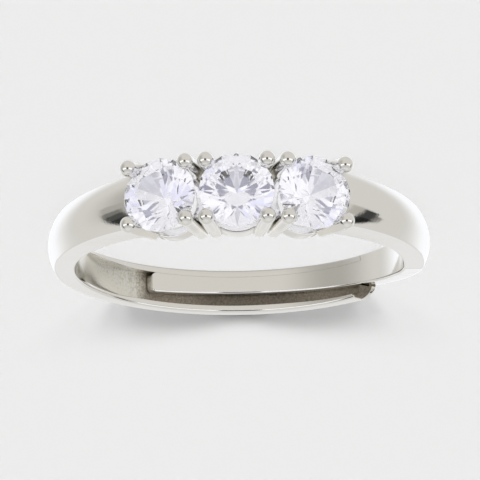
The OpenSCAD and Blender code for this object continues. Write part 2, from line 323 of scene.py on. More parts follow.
def make_piece(name, grids, material, loop=False, state=None):
    """One object of closed shells. Each shell is a grid of closed outlines (stations, around, 3)
    whose two ends are closed by flat faces unless it loops. A state has one value for each point
    of the grids."""
    points, quads, caps, normals = [], [], [], []
    start = 0
    for grid in grids:
        stations, around = grid.shape[:2]
        p = lie(grid).reshape(-1, 3)
        q = tube_faces(stations, around, loop)
        ends = [] if loop else [np.arange(around)[::-1],
                                np.arange(around) + (stations - 1) * around]
        a, b, c, d = (p[q[:, k]] for k in range(4))
        normal = np.cross(c - a, d - b)
        corner = corner_normals(normal.reshape(-1, around, 3), loop).reshape(-1, 4, 3)
        if np.einsum("ij,ij->", (a + b + c + d), normal) < 0:
            q, corner = q[:, ::-1], -corner[:, ::-1]
            ends = [end[::-1] for end in ends]
        points.append(p)
        quads.append(q + start)
        normals.append(corner.reshape(-1, 3))
        for end in ends:
            caps.append(end + start)
        start += len(p)
    points, quads, normals = np.concatenate(points), np.concatenate(quads), np.concatenate(normals)
    loops = np.concatenate([quads.ravel()] + caps)
    starts = np.concatenate([np.arange(len(quads)) * 4,
                             len(quads) * 4 + np.cumsum([0] + [len(c) for c in caps[:-1]])
                             if caps else np.zeros(0, int)]).astype(int)
    mesh = bpy.data.meshes.new(name)
    mesh.vertices.add(len(points))
    mesh.vertices.foreach_set("co", points.ravel())
    mesh.loops.add(len(loops))
    mesh.loops.foreach_set("vertex_index", loops.astype(np.int32))
    mesh.polygons.add(len(starts))
    mesh.polygons.foreach_set("loop_start", starts.astype(np.int32))
    mesh.materials.append(material)
    mesh.update(calc_edges=True)
    mesh.polygons.foreach_set("use_smooth", np.ones(len(starts), bool))
    split = [normals]
    for cap in caps:
        p = points[cap]
        n = np.cross(p - p.mean(0), np.roll(p, -1, 0) - p.mean(0)).sum(0)
        split.append(np.broadcast_to(n / max(np.linalg.norm(n), 1e-20), (len(cap), 3)))
    mesh.normals_split_custom_set(np.concatenate(split))
    if state is not None:
        mesh.attributes.new("state", "FLOAT", "POINT").data.foreach_set("value", state.ravel())
    piece = bpy.data.objects.new(name, mesh)
    bpy.context.scene.collection.objects.link(piece)
    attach(piece, "root")
    return piece


# The band

def half_width(s, y):
    """Half the band's width at y: it grows with the square of the distance from the waist."""
    return s.waist_w / 2 + ((s.shoulder_w - s.waist_w) / 2
                            * ((s.waist_back - y) / (s.waist_back + s.hole_r))**2)


def crown_radius(s, phi, z):
    """Distance of the crown from the finger's axis along the ray at angle phi. The crown is an
    arc across the band, turned about one centre at the back and about another, beyond the
    finger's axis, at each shoulder. The ray meets such a surface at b + sqrt(b^2 - c^2 + r^2),
    with b the centre's place along the ray, c its distance and r the surface's radius."""
    dx, dy = -np.sin(phi), np.cos(phi)
    sag = s.crown_r - np.sqrt(np.maximum(s.crown_r**2 - z**2, 0))
    back_b = -s.band_shift * dy
    back_r = s.crown_side_r - sag
    back = back_b + np.sqrt(back_b**2 - s.band_shift**2 + back_r**2)
    side_b = -s.shoulder_rise * np.abs(dx) - s.band_shift * dy
    side_c = s.shoulder_rise**2 + s.band_shift**2
    side = side_b + np.sqrt(side_b**2 - side_c + (back_r + s.shoulder_rise)**2)
    return np.where(back * dy >= -s.band_shift, back, side)


def basket_edge(s, r, z):
    """Angle from a side basket's axis at which the band ends: where a point at radius r and
    height z meets the room that is cut round the basket, a cylinder that opens into the
    stone's seat."""
    room = s.basket_room_r
    low = s.girdle_r - s.girdle_t / 2 - s.pavilion_h - s.seat_gap / math.cos(s.pavilion_angle)
    for _ in range(3):
        seat = (r * np.cos(np.arcsin(np.minimum(room / r, 1))) - low) / math.tan(s.pavilion_angle)
        room = np.clip(seat, s.basket_room_r, s.stone_r + s.seat_gap)
    return np.arcsin(np.sqrt(np.maximum(room**2 - z**2, 0)) / r)


def taper_top(s, y):
    """z of the slanting side that tapers the tongue's half of the band."""
    return s.waist_w / 2 - (y - TAPER_START) * s.taper_slope


def steady(values):
    """A function of two places along the outline that gives each station one value."""
    return lambda first, second: values[:, None] + 0 * first


# Points across the crown, and the angles whose sines space them out: they lie closer together
# towards the crown's edges and stop short of their rounding.
CROWN_POINTS = 25
CROWN_BEND = math.radians(64)
CROWN_REACH = math.radians(72)
# Two more points up the high side face, as shares of its height. The state of the silver changes
# between them at the channel's end, where it is painted dark as shade.
FACE_POINTS = (0.72, 0.8)


def band_outline(s, station, trim, side, low, high, outer, inner, edges, notch=None):
    """Corners of the band's outline at each station, as points in space, and their roundings.
    Stations are angles round the finger; trim, from 0 to 1, carries the last of them onto the
    basket's edge. low and high give the z of the two sides from y and the angle, outer gives the
    crown's radius, inner the bore's at each station, and edges the rounding of the two inner
    edges. A notch gives the z of the channel's two walls, its floor's radius and the rounding of
    its four corners. A corner's place depends on its own angle, so it is worked out again until
    it settles."""
    phi0 = station[:, None]
    start = phi0[np.argmax(trim > 0)][0]
    basket = side * (math.pi - s.side_angle)

    def place(radius_of, z_of):
        phi = phi0 + 0 * radius_of(phi0, z_of(0 * phi0, phi0))
        for _ in range(6):
            r = radius_of(phi, 0)
            for _ in range(3):
                z = z_of(r * np.cos(phi), phi)
                r = radius_of(phi, z)
            end = basket - side * basket_edge(s, r, z)
            phi = np.where(trim[:, None] > 0, start + trim[:, None] * (end - start), phi0)
        return phi, r, z

    def up_face(share):
        return lambda phi, z: (1 - share) * inner[:, None] + share * outer(phi, z)

    bore = steady(inner)
    edge_high, edge_low = place(outer, high), place(outer, low)
    top, bottom = edge_high[2], edge_low[2]
    across = np.sin(np.linspace(1, -1, CROWN_POINTS) * CROWN_BEND) / math.sin(CROWN_REACH)
    crown = place(outer, lambda y, phi: (top + bottom) / 2 + (top - bottom) / 2 * across)
    corners = [place(bore, high), *(place(up_face(share), high) for share in FACE_POINTS),
               edge_high, crown, edge_low, place(bore, low)]
    radii = [edges[0], *(0 for _ in FACE_POINTS), s.crown_edge, *(0 for _ in across),
             s.crown_edge, edges[1]]
    if notch is not None:
        wall_high, wall_low, floor, roundings = notch
        for radius_of, wall, radius in zip((bore, steady(floor), steady(floor), bore),
                                           (wall_low, wall_low, wall_high, wall_high), roundings):
            corners.append(place(radius_of, steady(wall)))
            radii.append(radius)
    phi, r, z = (np.concatenate([c[k] for c in corners], 1) for k in range(3))
    return np.stack([-r * np.sin(phi), r * np.cos(phi), z], -1), radii


# How far before a side basket's axis, in radians, the stations start to lean onto its edge.
TRIM_FROM = 0.24


def shoulder_stations(s, first, side, count, trimmed=18):
    """Angles from first to just before a side basket, then trimmed ones that end on it."""
    near = side * (math.pi - s.side_angle - TRIM_FROM)
    station = np.concatenate([np.linspace(first, near, count), np.full(trimmed, near)])
    trim = np.concatenate([np.zeros(count), np.linspace(0, 1, trimmed + 1)[1:]])
    return station, trim


def end_inset(radius, s_from_end):
    """How far the sides draw in at a distance from an end whose corners are round."""
    k = np.clip(radius - s_from_end, 0, radius)
    return radius - np.sqrt(radius**2 - k**2)


def smooth_step(value, low, high):
    """0 below low, 1 above high and 3t^2 - 2t^3 between them."""
    t = np.clip((value - low) / (high - low), 0, 1)
    return t * t * (3 - 2 * t)


# Where the channel changes round the band, each as the two angles in degrees between which it
# does so: the floor leaves the bore, the scoop's wide roundings end, and the rail wears thin.
FLOOR_LEAVES = (-84, -74)
SCOOP_ENDS = (-58, -38)
RAIL_THINS = (10, 42)
# The same for the state of its silver, and how much sooner the grain starts beside its low wall.
SATIN_STARTS = (-88, -74)
GRAIN_STARTS = (-56, -44)
GRAIN_LEAD = 9
RAW_STARTS = (-41, -31)
# Where the channel's raw silver turns darker, partly as painted shade.
RAW_SHADED_STARTS = (-22, -8)
RAW_SHADED_ENDS = (12, 34)
# Stations along the channel's half, the tongue and the rest of its half, and the least radius of
# the corner inside the open end.
CHANNEL_STATIONS = 230
TONGUE_STATIONS = 110
SHOULDER_STATIONS = 150
LEAST_CORNER = 0.05


def channel_half(s):
    """The half of the band with the channel: its outline, carried round the finger. At the open
    end a thin rim turns in on the high side, and the low side is a rail that ends beside the
    tongue. The scoop's floor is an arc about a centre beside the finger's axis, and its depth d
    is softened to (d + sqrt(d^2 + soft^2)) / 2. Also gives the state of the silver at each
    point."""
    half = s.channel_w / 2
    mouth_y = s.hole_r * math.cos(s.channel_end)
    passage = min(taper_top(s, mouth_y) + s.slide_gap, half)
    rim_corner = max(min(s.channel_corner - half_width(s, mouth_y) + half, half - passage),
                     LEAST_CORNER)
    quarter = 1 - np.cos(np.linspace(0, math.pi / 2, 14))
    from_end = np.sort(np.concatenate([s.channel_corner * quarter, s.rail_corner * quarter[1:],
                                       s.end_rim + rim_corner * quarter,
                                       [s.end_rim, s.channel_corner + LEAST_CORNER]]))
    first = s.channel_end - from_end / s.hole_r
    rest, trim = shoulder_stations(s, first[-1] - 0.01, -1, CHANNEL_STATIONS)
    station = np.concatenate([first, rest])
    trim = np.concatenate([np.zeros(len(first)), trim])
    away = (s.channel_end - station) * s.hole_r
    turned = np.degrees(station)

    def high(y, phi):
        return half_width(s, y) - end_inset(s.channel_corner, away)[:, None] * np.ones_like(phi)

    def low(y, phi):
        return end_inset(s.rail_corner, away)[:, None] * np.ones_like(phi) - half_width(s, y)

    past_rim = np.arange(len(station)) > np.flatnonzero(np.isclose(away, s.end_rim))[0]
    thinned = half + s.rim_wear * smooth_step(turned, *RAIL_THINS)
    wall_high = np.where(past_rim, thinned - end_inset(rim_corner, away - s.end_rim), passage)
    wall_low = np.full(len(station), -half)
    off = station - s.channel_full
    depth = (s.scoop_shift * np.cos(off) - s.hole_r
             + np.sqrt(np.maximum(s.scoop_r**2 - (s.scoop_shift * np.sin(off))**2, 0)))
    depth = (depth + np.hypot(depth, s.scoop_soft)) / 2 * smooth_step(turned, *FLOOR_LEAVES)
    floor = np.where(station > s.channel_full, s.floor_r, s.hole_r + depth)
    floor = np.where(trim > 0, s.hole_r, floor)
    in_scoop = 1 - smooth_step(turned, *SCOOP_ENDS)
    in_strip = (s.side_lip, 0.05, 0.1, s.lip)
    wider = (0.12, 0.35, 0.5, s.scoop_lip)
    roundings = [size + more * in_scoop for size, more in zip(in_strip, wider)]
    corners, radii = band_outline(s, station, trim, -1, low, high,
                                  lambda phi, z: crown_radius(s, phi, z),
                                  np.full(len(station), s.hole_r), (s.inner_edge, s.inner_edge),
                                  (wall_high, wall_low, floor, roundings))
    grid = rounded(corners, radii)
    return grid, channel_state(grid, turned, trim, away)


def channel_state(grid, turned, trim, away):
    """The state of the silver on the channel's half. Along the band it goes from polished to
    satin, grainy, raw and, in the middle, darker raw silver that is partly painted shade. The grid's
    last 20 columns are the channel's, five to a rounding: its low wall's lip and foot, then its high
    wall's foot and lip. In the scoop the satin fades out at the high wall's foot, and the wall stays
    polished. The band's high face, which has the first columns, and the high wall are painted dark
    as shade up to a reach, in millimetres, from the open end, and so are the points of the first
    outline, at the open end, whose z is above 0."""
    columns = grid.shape[1]
    strip, scoop, lead = np.zeros((3, columns))
    strip[-18:-3] = 1
    scoop[-18:-10] = 1
    scoop[-10:-7] = (0.7, 0.4, 0.15)
    lead[:-10] = GRAIN_LEAD
    around = np.where(turned[:, None] > SCOOP_ENDS[1], strip, scoop)
    # Painted shade, partly darker raw silver, in the channel's middle.
    along = (SATIN * smooth_step(turned, *SATIN_STARTS)
             + (RAW - GRAINY) * smooth_step(turned, *RAW_STARTS)
             + (RAW_SHADED - RAW) * smooth_step(turned, *RAW_SHADED_STARTS)
             * (1 - smooth_step(turned, *RAW_SHADED_ENDS)))[:, None]
    along = along + (GRAINY - SATIN) * smooth_step(turned[:, None] + lead, *GRAIN_STARTS)
    # Beside the basket, less of the crevice darkening, which is partly oxide and partly painted
    # shade.
    state = along * around + CLEAN_AND_UNSHADED * trim[:, None]
    high_face, high_foot, high_lip = slice(0, 6), slice(-10, -5), slice(-5, None)
    # Painted shade: the high face and high wall are dark near the open end.
    for part, reach in ((high_face, 0.55), (high_foot, 0.55), (high_lip, 0.7)):
        end = RAW_SHADED * (1 - smooth_step(away, reach - 0.1, reach + 0.1))[:, None]
        state[:, part] = np.maximum(state[:, part], end)
    # Painted shade: the first outline, at the open end, is dark where z is above 0.
    state[0] = np.where(grid[0, :, 2] > 0, RAW_SHADED, 0)
    return state


def tongue_half(s):
    """The half of the band that tapers to the tongue: the same outline, cut by a slanting side,
    then stepped down to the thin tongue whose end is rounded. Also gives the state of the silver
    at each point: beside the basket it takes less of the crevice darkening, which is partly oxide
    and partly painted shade."""
    round_off = max(s.tongue_corner, s.tongue_nose) / s.hole_r
    tip = s.tongue_end + round_off * (1 - np.cos(np.linspace(0, math.pi / 2, 16)))
    tongue = np.concatenate([tip, np.linspace(tip[-1] + 0.01, s.step_angle, TONGUE_STATIONS)])
    rest, trim = shoulder_stations(s, s.step_angle, 1, SHOULDER_STATIONS)
    station = np.concatenate([tongue, rest])
    trim = np.concatenate([np.zeros(len(tongue)), trim])
    thin = np.arange(len(station)) < len(tongue)
    away = (station - s.tongue_end) * s.hole_r
    inset = end_inset(s.tongue_corner, away)[:, None]
    inner = s.hole_r + end_inset(s.tongue_nose, away)

    def high(y, phi):
        return np.minimum(half_width(s, y), taper_top(s, y)) - inset * np.ones_like(phi)

    def low(y, phi):
        return np.where(thin[:, None], s.side_gap - s.channel_w / 2 + inset, -half_width(s, y))

    def outer(phi, z):
        return np.where(thin[:, None], s.tongue_r, crown_radius(s, phi, z))

    corners, radii = band_outline(s, station, trim, 1, low, high, outer, inner,
                                  (s.tongue_edge, np.where(thin, s.side_lip, s.inner_edge)))
    grid = rounded(corners, radii)
    # Beside the basket, less of the crevice darkening, which is partly oxide and partly painted
    # shade.
    return grid, np.repeat(CLEAN_AND_UNSHADED * trim[:, None], grid.shape[1], 1)


# The baskets

def basket_rows(s):
    """One row for each basket: its angle, the top of its rail and its feet, as in the frame."""
    side_top = s.rail_top - s.rail_drop
    outer, inner, middle = s.outer_foot, s.inner_foot, s.centre_foot
    return {
        "left": (s.side_angle, side_top, ((-inner, s.rail_low), (outer, s.outer_foot_z))),
        "centre": (0.0, s.rail_top, ((-middle, s.rail_low), (middle, s.rail_low))),
        "right": (-s.side_angle, side_top, ((-outer, s.outer_foot_z), (inner, s.rail_low))),
    }


def rail(s, turn, top, stations=128):
    """A basket's rail: a rectangle with rounded corners carried round the basket's axis, whose
    lower edge follows the finger hole, z = sqrt(hole^2 - x^2)."""
    a = np.linspace(0, 2 * math.pi, stations, endpoint=False)[:, None]
    r = np.array([s.rail_r - s.rail_wall, s.rail_r, s.rail_r, s.rail_r - s.rail_wall])[None, :]
    x, y = r * np.cos(a), r * np.sin(a)
    low = np.sqrt(s.hole_r**2 - x**2)
    z = np.where(np.array([True, True, False, False])[None, :], low, top)
    return at_basket(rounded(np.stack([x, y, z], -1), [s.rail_edge] * 4), turn)


def prong(s, foot, tip, turn, flush, around=40):
    """A prong: circles whose radius follows the tapering shaft and then the ball, the larger of
    the two with a soft change, set along the line from the foot to the ball. Its foot is cut
    flush with the finger hole or is half a ball. Also gives the state of the silver: a little
    satin on the shaft, and below 0 towards the ball, where it takes less of the crevice darkening,
    which is partly oxide and partly painted shade."""
    foot, tip = np.array(foot, float), np.array(tip, float)
    run = np.linalg.norm(tip - foot)
    axis = (tip - foot) / run
    across = np.cross(axis, (0, 1, 0))
    across /= np.linalg.norm(across)
    other = np.cross(axis, across)
    foot_r, top_r, ball_r = s.prong_foot_d / 2, s.prong_top_d / 2, s.ball_d / 2
    tiny, soft, hair = 0.02, 0.05, 0.001
    ends = 1 - np.cos(np.linspace(0, math.pi / 2, 10))
    along = np.concatenate([-foot_r + foot_r * ends[:-1] + hair,
                            np.linspace(0, run - ball_r, 24)[:-1],
                            run - ball_r * np.cos(np.linspace(0, math.pi, 30))[:-1],
                            [run + ball_r - hair / 2]])
    a = np.linspace(0, 2 * math.pi, around, endpoint=False)[None, :]
    along = np.repeat(along[:, None], around, 1)
    if flush:
        start = np.zeros_like(a)
        for _ in range(12):
            p = foot + start[..., None] * axis + foot_r * (
                np.cos(a)[..., None] * across + np.sin(a)[..., None] * other)
            start = start + s.hole_r - np.hypot(p[..., 0], p[..., 2])
        along = np.maximum(along, start + hair * np.arange(len(along))[:, None])
    shaft = np.where(along < 0, np.sqrt(np.maximum(foot_r**2 - along**2, tiny**2)),
                     foot_r + (top_r - foot_r) * smooth_step(along / run, 0, 0.6))
    ball = np.sqrt(np.maximum(ball_r**2 - (along - run)**2, 0))
    shaft = np.where(along > run, 0, shaft)
    gap = np.maximum(soft - np.abs(shaft - ball), 0) / soft
    r = np.maximum(np.maximum(shaft, ball) + gap**2 * soft / 4 * (along < run), tiny)
    p = (foot + along[..., None] * axis
         + r[..., None] * (np.cos(a)[..., None] * across + np.sin(a)[..., None] * other))
    # Towards the ball, less of the crevice darkening, which is partly oxide and partly painted
    # shade.
    state = PRONG_SATIN + (CLEAN_AND_UNSHADED - PRONG_SATIN) * smooth_step(along / run, 0.6, 0.9)
    return at_basket(p, turn), state


# Materials

def node(tree, kind, **inputs):
    """A node with its inputs set or linked. An input is given by its name, with _ for a space, or
    by _ and its number, and a property of the node by its own name in lower case."""
    n = tree.nodes.new(kind)
    for key, value in inputs.items():
        if key.islower() and hasattr(n, key):
            setattr(n, key, value)
            continue
        socket = n.inputs[int(key[1:])] if key[0] == "_" else n.inputs[key.replace("_", " ")]
        if isinstance(value, bpy.types.NodeSocket):
            tree.links.new(value, socket)
        else:
            socket.default_value = value
    return n


def math_node(tree, operation, *values):
    return node(tree, "ShaderNodeMath", operation=operation,
                **{f"_{k}": v for k, v in enumerate(values)}).outputs[0]


def new_group(name, inputs, outputs):
    """An empty shader node group with named sockets."""
    group = bpy.data.node_groups.new(name, "ShaderNodeTree")
    for text, kind, value in inputs:
        socket = group.interface.new_socket(text, in_out="INPUT", socket_type=kind)
        if value is not None:
            socket.default_value = value
    for text, kind in outputs:
        group.interface.new_socket(text, in_out="OUTPUT", socket_type=kind)
    return group, group.nodes.new("NodeGroupInput"), group.nodes.new("NodeGroupOutput")


def silver_group():
    """The surface of worked silver by its state: polished, with soft waves and hairlines that
    vary its roughness; satin and grainy, as the scoop is left; raw, as the channel is, and past that
    darker still, partly as painted shade. Crevices, found by ambient occlusion, are darkened towards
    an olive colour, partly as oxide and partly as painted shade, less of it where the state is below
    0."""
    group, into, out = new_group(
        "silver surface",
        [("State", "NodeSocketFloat", 0.0), ("Polished", "NodeSocketColor", None),
         ("Satin", "NodeSocketColor", None), ("Raw", "NodeSocketColor", None),
         ("Tarnish_and_shade", "NodeSocketColor", None)],
        [("Color", "NodeSocketColor"), ("Roughness", "NodeSocketFloat"),
         ("Normal", "NodeSocketVector")])
    place = node(group, "ShaderNodeTexCoord").outputs["Object"]
    state = into.outputs["State"]
    unpolished = node(group, "ShaderNodeMapRange", Value=state,
                      From_Max=SATIN).outputs["Result"]
    grainy = node(group, "ShaderNodeMapRange", Value=state, From_Min=SATIN,
                  From_Max=GRAINY).outputs["Result"]
    raw = node(group, "ShaderNodeMapRange", Value=state, From_Min=GRAINY,
               From_Max=RAW).outputs["Result"]
    wave = node(group, "ShaderNodeTexNoise", Vector=place, Scale=420.0, Detail=2.0)
    hair = node(group, "ShaderNodeTexNoise", Vector=place, Scale=3500.0, Detail=3.0)
    grain = node(group, "ShaderNodeTexNoise", Vector=place, Scale=9000.0, Detail=4.0, Roughness=0.6)
    soft = node(group, "ShaderNodeBump", Strength=0.25, Distance=0.00006,
                Height=wave.outputs["Fac"])
    grains = node(group, "ShaderNodeBump", Distance=0.00004, Height=grain.outputs["Fac"],
                  Normal=soft.outputs["Normal"],
                  Strength=math_node(group, "MULTIPLY_ADD", grainy, 0.75, 0.05))
    spot = node(group, "ShaderNodeMapRange", Value=grain.outputs["Fac"], From_Min=0.35,
                From_Max=0.68, To_Min=0.7, To_Max=1.3).outputs["Result"]
    # Painted shade, partly darker raw silver: past the raw state the speckled colour is multiplied
    # down to 0.6.
    darker = node(group, "ShaderNodeMapRange", Value=state, From_Min=RAW, From_Max=RAW_SHADED,
                  To_Min=1.0, To_Max=0.6).outputs["Result"]
    spot = math_node(group, "MULTIPLY", spot, darker)
    first = node(group, "ShaderNodeMix", data_type="RGBA", _0=unpolished,
                 _6=into.outputs["Polished"], _7=into.outputs["Satin"])
    second = node(group, "ShaderNodeMix", data_type="RGBA", _0=raw, _6=first.outputs[2],
                  _7=into.outputs["Raw"])
    speckled = node(group, "ShaderNodeMix", data_type="RGBA", blend_type="MULTIPLY",
                    _0=grainy, _6=second.outputs[2], _7=spot)
    # Painted shade, partly oxide: ambient occlusion darkens crevices towards the olive crevice
    # colour.
    hollow = node(group, "ShaderNodeAmbientOcclusion", samples=8, Distance=0.0009)
    deep = node(group, "ShaderNodeMapRange", Value=hollow.outputs["AO"], From_Min=0.1,
                From_Max=0.62, To_Min=0.85, To_Max=0.0).outputs["Result"]
    shade_and_oxide_share = math_node(group, "MINIMUM", math_node(group, "ADD", state, 1.0), 1.0)
    kept = math_node(group, "MULTIPLY", math_node(group, "MULTIPLY", deep, shade_and_oxide_share),
                     math_node(group, "MULTIPLY_ADD", unpolished, -0.5, 1.0))
    shaded_and_oxidised = node(group, "ShaderNodeMix", data_type="RGBA", _0=kept, _6=speckled.outputs[2],
                _7=into.outputs["Tarnish_and_shade"])
    polish = math_node(group, "MULTIPLY_ADD", hair.outputs["Fac"], 0.06, 0.03)
    rough = node(group, "ShaderNodeMix", data_type="FLOAT", _0=unpolished, _2=polish, _3=0.38)
    group.links.new(shaded_and_oxidised.outputs[2], out.inputs["Color"])
    group.links.new(rough.outputs[0], out.inputs["Roughness"])
    group.links.new(grains.outputs["Normal"], out.inputs["Normal"])
    return group


def new_material(name):
    material = bpy.data.materials.new(name)
    material.use_nodes = True
    return material, material.node_tree, material.node_tree.nodes["Principled BSDF"]


def silver_material(finish):
    """Silver whose state is an attribute of the points; pieces without it are polished."""
    name = "worked silver"
    if name in bpy.data.materials:
        return bpy.data.materials[name]
    material, tree, shader = new_material(name)
    surface = node(tree, "ShaderNodeGroup", node_tree=silver_group())
    state = node(tree, "ShaderNodeAttribute", attribute_name="state").outputs["Fac"]
    tree.links.new(state, surface.inputs["State"])
    for key in ("Polished", "Satin", "Raw", "Tarnish_and_shade"):
        surface.inputs[key].default_value = (*getattr(finish, key.lower()), 1)
    shader.inputs["Metallic"].default_value = 1
    for key, socket in (("Color", "Base Color"), ("Roughness", "Roughness"), ("Normal", "Normal")):
        tree.links.new(surface.outputs[key], shader.inputs[socket])
    return material


def stone_material(name, tint, ior, glow):
    """Clear cut stone: refraction at its facets, with a faint tint and a faint painted glow, an
    emission in the tint that stands in for the light that scatters inside it."""
    material, tree, shader = new_material(name)
    shader.inputs["Base Color"].default_value = (*tint, 1)
    shader.inputs["Roughness"].default_value = 0.05
    shader.inputs["IOR"].default_value = ior
    # Painted glow: a faint emission in the tint.
    shader.inputs["Emission Color"].default_value = (*tint, 1)
    shader.inputs["Emission Strength"].default_value = glow
    shader.inputs["Transmission Weight"].default_value = 1
    return material


# Operators

class RING_OT_band(bpy.types.Operator):
    """Build both halves of the band and hide the frame's metal"""
    bl_idname = "ring.band"
    bl_label = "Band"

    def execute(self, context):
        s, metal = sizes(), silver_material(context.scene.finish)
        grid, state = channel_half(s)
        piece = make_piece("band_channel_half", [grid], metal, state=state)
        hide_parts("ring_body")
        grid, state = tongue_half(s)
        make_piece("band_tongue_half", [grid], metal, state=state)
        return {"FINISHED"}


class RING_OT_baskets(bpy.types.Operator):
    """Build the rails and prongs of the three baskets"""
    bl_idname = "ring.baskets"
    bl_label = "Baskets"

    def execute(self, context):
        s, metal = sizes(), silver_material(context.scene.finish)
        for name, (turn, top, feet) in basket_rows(s).items():
            make_piece(f"rail_{name}", [rail(s, turn, top)], metal, loop=True)
            prongs, state = zip(*(
                prong(s, (x, side * s.foot_y, z),
                      (math.copysign(s.ball_at[0], x), side * s.ball_at[1], s.ball_at[2]),
                      turn, z < s.hole_r)
                for x, z in feet for side in (-1, 1)))
            make_piece(f"prongs_{name}", prongs, metal, state=np.concatenate(state))
        return {"FINISHED"}


class RING_OT_stones(bpy.types.Operator):
    """Give the frame's stones their material"""
    bl_idname = "ring.stones"
    bl_label = "Stones"

    def execute(self, context):
        finish = context.scene.finish
        material = stone_material("clear stone", tuple(finish.stone), finish.stone_ior,
                                  finish.stone_glow)
        for name in BASKETS:
            stone = frame["nodes"][f"stone_{name}"]
            for slot in stone.material_slots:
                slot.material = material
        return {"FINISHED"}


def card_group():
    """A soft card in the light tent: 1 inside a box of azimuth and elevation, 0 outside."""
    group, into, out = new_group(
        "soft card",
        [("Azimuth", "NodeSocketFloat", 0.0), ("Elevation", "NodeSocketFloat", 0.0),
         ("At azimuth", "NodeSocketFloat", 0.0), ("Half azimuth", "NodeSocketFloat", 10.0),
         ("At elevation", "NodeSocketFloat", 0.0), ("Half elevation", "NodeSocketFloat", 10.0),
         ("Soft", "NodeSocketFloat", 5.0)],
        [("Mask", "NodeSocketFloat")])
    masks = []
    for value, centre, half in (("Azimuth", "At azimuth", "Half azimuth"),
                                ("Elevation", "At elevation", "Half elevation")):
        off = math_node(group, "ABSOLUTE", math_node(group, "SUBTRACT", into.outputs[value],
                                                     into.outputs[centre]))
        inner = math_node(group, "SUBTRACT", into.outputs[half], into.outputs["Soft"])
        step = node(group, "ShaderNodeMapRange", interpolation_type="SMOOTHSTEP")
        group.links.new(off, step.inputs["Value"])
        group.links.new(inner, step.inputs["From Min"])
        group.links.new(into.outputs[half], step.inputs["From Max"])
        step.inputs["To Min"].default_value = 1
        step.inputs["To Max"].default_value = 0
        masks.append(step.outputs["Result"])
    group.links.new(math_node(group, "MULTIPLY", *masks), out.inputs["Mask"])
    return group


# Azimuth from the front towards +X, its half size, elevation, its half size and the softness,
# in degrees, then the colour. A card whose azimuth is in brackets is on both sides.
CARDS = (
    ((180,), 62, -19, 46, 32, (1.02, 1.03, 1.06)),
    ((180,), 30, 5, 7, 4, (0.74, 0.73, 0.71)),
    ((0,), 80, -10, 55, 25, (0.67, 0.645, 0.6)),
    ((0,), 80, 34, 40, 14, (0.58, 0.565, 0.54)),
    ((0,), 200, 85, 32, 16, (0.74, 0.735, 0.72)),
    (70, 44, -14, 50, 40, (0.43, 0.415, 0.38)),
    (87, 11, 15, 27, 3, (0.41, 0.395, 0.365)),
    (89, 8.5, 20, 20, 3, (0.19, 0.185, 0.17)),
    (89, 8.5, 26, 18, 3, (0.075, 0.075, 0.07)),
    (89, 8.5, 35, 17, 3, (0.03, 0.03, 0.03)),
    (-88, 10, 12, 12, 5, (0.46, 0.44, 0.4)),
    (-101, 4, 16, 8, 2, (0.24, 0.23, 0.21)),
    (-94.5, 6, 20, 17, 1.5, (0.05, 0.05, 0.05)),
    (-97, 5, 29, 9, 1.5, (0.015, 0.015, 0.015)),
    ((0,), 80, 17, 12, 4, (1.15, 1.15, 1.13)),
    ((0,), 18, 17, 15, 5, (0.03, 0.03, 0.03)),
)
TENT = (0.67, 0.655, 0.62)
# The same for what the stones gather through their facets.
STONE_CARDS = (
    ((180,), 70, 0, 60, 30, (0.66, 0.66, 0.7)),
    (40, 30, 30, 30, 12, (0.82, 0.83, 0.97)),
    (-55, 30, -20, 30, 12, (0.55, 0.55, 0.6)),
    ((0,), 14, 10, 20, 8, (0.3, 0.3, 0.37)),
)
TENT_IN_STONES = (1.05, 1.05, 1.06)
BACKDROP = (0.83, 0.83, 0.83, 1)
# The share of the tent's light that the floor takes.
FLOOR_TAKES = 0.2


def hang_cards(tree, group, cards, tent, azimuth, elevation):
    """The colour of a tent and the cards in it, each laid over the ones before."""
    either = math_node(tree, "ABSOLUTE", azimuth)
    seen = (*tent, 1)
    for at, half, up, tall, soft, tint in cards:
        both = isinstance(at, tuple)
        card = node(tree, "ShaderNodeGroup", node_tree=group)
        tree.links.new(either if both else azimuth, card.inputs["Azimuth"])
        tree.links.new(elevation, card.inputs["Elevation"])
        for key, value in (("At azimuth", at[0] if both else at), ("Half azimuth", half),
                           ("At elevation", up), ("Half elevation", tall), ("Soft", soft)):
            card.inputs[key].default_value = value
        seen = node(tree, "ShaderNodeMix", data_type="RGBA", _0=card.outputs["Mask"], _6=seen,
                    _7=(*tint, 1)).outputs[2]
    return seen


